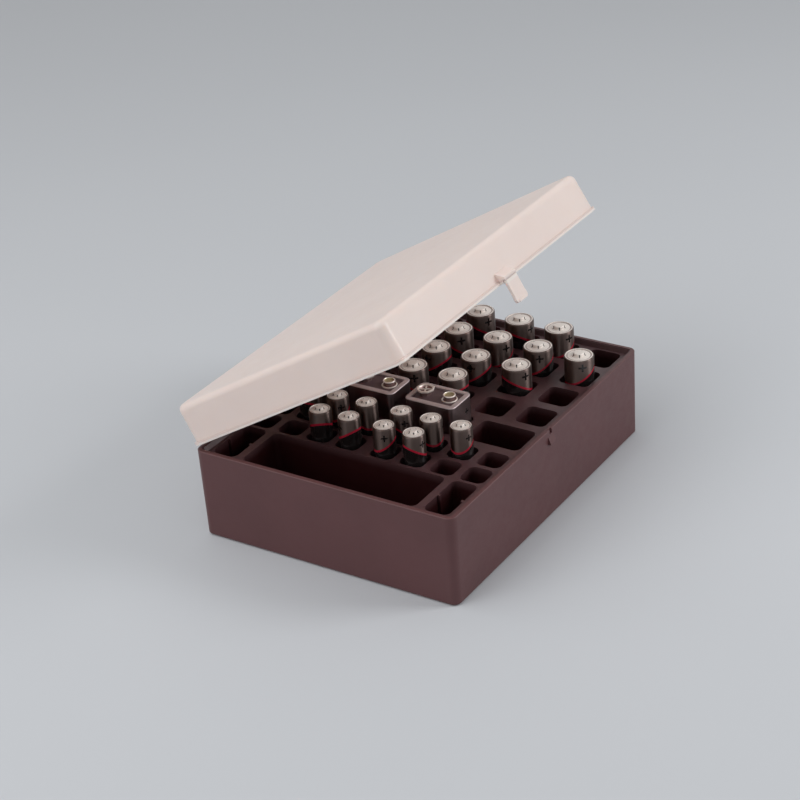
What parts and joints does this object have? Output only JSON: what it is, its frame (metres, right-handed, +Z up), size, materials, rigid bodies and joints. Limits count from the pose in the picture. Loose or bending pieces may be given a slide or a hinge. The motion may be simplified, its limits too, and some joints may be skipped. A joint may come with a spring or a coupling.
{
  "type": "battery storage box",
  "caption": "Dark moulded box with rows of deep battery pockets, an open bin and a hinged milky lid with a snap tongue, standing half open with cells in most pockets.",
  "frame": {"origin": "middle of the underside of the case, on the surface it stands on", "axes": "+Z up; +X along the case, towards the AA pockets; +Y towards the hinges, so the latch faces -Y"},
  "size_m": [0.172, 0.1468, 0.131],
  "materials": {
    "case_plastic": "dark grey-brown moulded, fine grain",
    "tray_plastic": "dark grey-brown moulded, fine grain",
    "lid_plastic": "milky, translucent, smooth",
    "pin_steel": "bright",
    "aa_jacket": "glossy black sleeve under a metallic band",
    "aaa_jacket": "glossy black sleeve under a metallic band",
    "nine_volt_jacket": "metallic grey sleeve with a dark top"
  },
  "bodies": {
    "case": {"case_shell": "case_plastic", "cell_tray": "tray_plastic", "hinge_pin_left": "pin_steel", "hinge_pin_right": "pin_steel"},
    "lid": {"lid": "lid_plastic"},
    "tongue": {"latch_tongue": "lid_plastic"},
    "aa_cell_01": {"aa_cell_01": "aa_jacket"},
    "aa_cell_02": {"aa_cell_02": "aa_jacket"},
    "aa_cell_03": {"aa_cell_03": "aa_jacket"},
    "aa_cell_04": {"aa_cell_04": "aa_jacket"},
    "aa_cell_05": {"aa_cell_05": "aa_jacket"},
    "aa_cell_06": {"aa_cell_06": "aa_jacket"},
    "aa_cell_07": {"aa_cell_07": "aa_jacket"},
    "aa_cell_08": {"aa_cell_08": "aa_jacket"},
    "aa_cell_09": {"aa_cell_09": "aa_jacket"},
    "aa_cell_10": {"aa_cell_10": "aa_jacket"},
    "aa_cell_11": {"aa_cell_11": "aa_jacket"},
    "aa_cell_12": {"aa_cell_12": "aa_jacket"},
    "aa_cell_13": {"aa_cell_13": "aa_jacket"},
    "aa_cell_14": {"aa_cell_14": "aa_jacket"},
    "aa_cell_15": {"aa_cell_15": "aa_jacket"},
    "aa_cell_16": {"aa_cell_16": "aa_jacket"},
    "aa_cell_17": {"aa_cell_17": "aa_jacket"},
    "aa_cell_18": {"aa_cell_18": "aa_jacket"},
    "aa_cell_19": {"aa_cell_19": "aa_jacket"},
    "aa_cell_20": {"aa_cell_20": "aa_jacket"},
    "aaa_cell_01": {"aaa_cell_01": "aaa_jacket"},
    "aaa_cell_02": {"aaa_cell_02": "aaa_jacket"},
    "aaa_cell_03": {"aaa_cell_03": "aaa_jacket"},
    "aaa_cell_04": {"aaa_cell_04": "aaa_jacket"},
    "aaa_cell_05": {"aaa_cell_05": "aaa_jacket"},
    "aaa_cell_06": {"aaa_cell_06": "aaa_jacket"},
    "aaa_cell_07": {"aaa_cell_07": "aaa_jacket"},
    "aaa_cell_08": {"aaa_cell_08": "aaa_jacket"},
    "aaa_cell_09": {"aaa_cell_09": "aaa_jacket"},
    "aaa_cell_10": {"aaa_cell_10": "aaa_jacket"},
    "nine_volt_cell_1": {"nine_volt_cell_1": "nine_volt_jacket"},
    "nine_volt_cell_2": {"nine_volt_cell_2": "nine_volt_jacket"},
    "nine_volt_cell_3": {"nine_volt_cell_3": "nine_volt_jacket"}
  },
  "joints": [
    {"name": "lid_hinge", "type": "hinge", "parent": "case", "child": "lid", "pos_m": [0, 0.07, 0.045], "axis": [-1, 0, 0], "range_deg": [-30.5, 75]},
    {"name": "tongue_flex", "type": "hinge", "parent": "lid", "child": "tongue", "pos_m": [0, -0.05129, 0.11749], "axis": [-1, 0, 0], "range_deg": [-4, 25], "stiffness_Nm_per_rad": 0.01},
    {"name": "aa_cell_01_lift", "type": "slide", "parent": "case", "child": "aa_cell_01", "axis": [0, 0, 1], "range_m": [0, 0.04]},
    {"name": "aa_cell_02_lift", "type": "slide", "parent": "case", "child": "aa_cell_02", "axis": [0, 0, 1], "range_m": [0, 0.038]},
    {"name": "aa_cell_03_lift", "type": "slide", "parent": "case", "child": "aa_cell_03", "axis": [0, 0, 1], "range_m": [0, 0.025]},
    {"name": "aa_cell_04_lift", "type": "slide", "parent": "case", "child": "aa_cell_04", "axis": [0, 0, 1], "range_m": [0, 0.012]},
    {"name": "aa_cell_05_lift", "type": "slide", "parent": "case", "child": "aa_cell_05", "axis": [0, 0, 1], "range_m": [0, 0.04]},
    {"name": "aa_cell_06_lift", "type": "slide", "parent": "case", "child": "aa_cell_06", "axis": [0, 0, 1], "range_m": [0, 0.04]},
    {"name": "aa_cell_07_lift", "type": "slide", "parent": "case", "child": "aa_cell_07", "axis": [0, 0, 1], "range_m": [0, 0.038]},
    {"name": "aa_cell_08_lift", "type": "slide", "parent": "case", "child": "aa_cell_08", "axis": [0, 0, 1], "range_m": [0, 0.025]},
    {"name": "aa_cell_09_lift", "type": "slide", "parent": "case", "child": "aa_cell_09", "axis": [0, 0, 1], "range_m": [0, 0.012]},
    {"name": "aa_cell_10_lift", "type": "slide", "parent": "case", "child": "aa_cell_10", "axis": [0, 0, 1], "range_m": [0, 0.04]},
    {"name": "aa_cell_11_lift", "type": "slide", "parent": "case", "child": "aa_cell_11", "axis": [0, 0, 1], "range_m": [0, 0.04]},
    {"name": "aa_cell_12_lift", "type": "slide", "parent": "case", "child": "aa_cell_12", "axis": [0, 0, 1], "range_m": [0, 0.04]},
    {"name": "aa_cell_13_lift", "type": "slide", "parent": "case", "child": "aa_cell_13", "axis": [0, 0, 1], "range_m": [0, 0.038]},
    {"name": "aa_cell_14_lift", "type": "slide", "parent": "case", "child": "aa_cell_14", "axis": [0, 0, 1], "range_m": [0, 0.025]},
    {"name": "aa_cell_15_lift", "type": "slide", "parent": "case", "child": "aa_cell_15", "axis": [0, 0, 1], "range_m": [0, 0.012]},
    {"name": "aa_cell_16_lift", "type": "slide", "parent": "case", "child": "aa_cell_16", "axis": [0, 0, 1], "range_m": [0, 0.04]},
    {"name": "aa_cell_17_lift", "type": "slide", "parent": "case", "child": "aa_cell_17", "axis": [0, 0, 1], "range_m": [0, 0.04]},
    {"name": "aa_cell_18_lift", "type": "slide", "parent": "case", "child": "aa_cell_18", "axis": [0, 0, 1], "range_m": [0, 0.038]},
    {"name": "aa_cell_19_lift", "type": "slide", "parent": "case", "child": "aa_cell_19", "axis": [0, 0, 1], "range_m": [0, 0.025]},
    {"name": "aa_cell_20_lift", "type": "slide", "parent": "case", "child": "aa_cell_20", "axis": [0, 0, 1], "range_m": [0, 0.012]},
    {"name": "aaa_cell_01_lift", "type": "slide", "parent": "case", "child": "aaa_cell_01", "axis": [0, 0, 1], "range_m": [0, 0.032]},
    {"name": "aaa_cell_02_lift", "type": "slide", "parent": "case", "child": "aaa_cell_02", "axis": [0, 0, 1], "range_m": [0, 0.032]},
    {"name": "aaa_cell_03_lift", "type": "slide", "parent": "case", "child": "aaa_cell_03", "axis": [0, 0, 1], "range_m": [0, 0.032]},
    {"name": "aaa_cell_04_lift", "type": "slide", "parent": "case", "child": "aaa_cell_04", "axis": [0, 0, 1], "range_m": [0, 0.029]},
    {"name": "aaa_cell_05_lift", "type": "slide", "parent": "case", "child": "aaa_cell_05", "axis": [0, 0, 1], "range_m": [0, 0.032]},
    {"name": "aaa_cell_06_lift", "type": "slide", "parent": "case", "child": "aaa_cell_06", "axis": [0, 0, 1], "range_m": [0, 0.032]},
    {"name": "aaa_cell_07_lift", "type": "slide", "parent": "case", "child": "aaa_cell_07", "axis": [0, 0, 1], "range_m": [0, 0.032]},
    {"name": "aaa_cell_08_lift", "type": "slide", "parent": "case", "child": "aaa_cell_08", "axis": [0, 0, 1], "range_m": [0, 0.032]},
    {"name": "aaa_cell_09_lift", "type": "slide", "parent": "case", "child": "aaa_cell_09", "axis": [0, 0, 1], "range_m": [0, 0.029]},
    {"name": "aaa_cell_10_lift", "type": "slide", "parent": "case", "child": "aaa_cell_10", "axis": [0, 0, 1], "range_m": [0, 0.02]},
    {"name": "nine_volt_cell_1_lift", "type": "slide", "parent": "case", "child": "nine_volt_cell_1", "axis": [0, 0, 1], "range_m": [0, 0.035]},
    {"name": "nine_volt_cell_2_lift", "type": "slide", "parent": "case", "child": "nine_volt_cell_2", "axis": [0, 0, 1], "range_m": [0, 0.029]},
    {"name": "nine_volt_cell_3_lift", "type": "slide", "parent": "case", "child": "nine_volt_cell_3", "axis": [0, 0, 1], "range_m": [0, 0.01]}
  ]
}
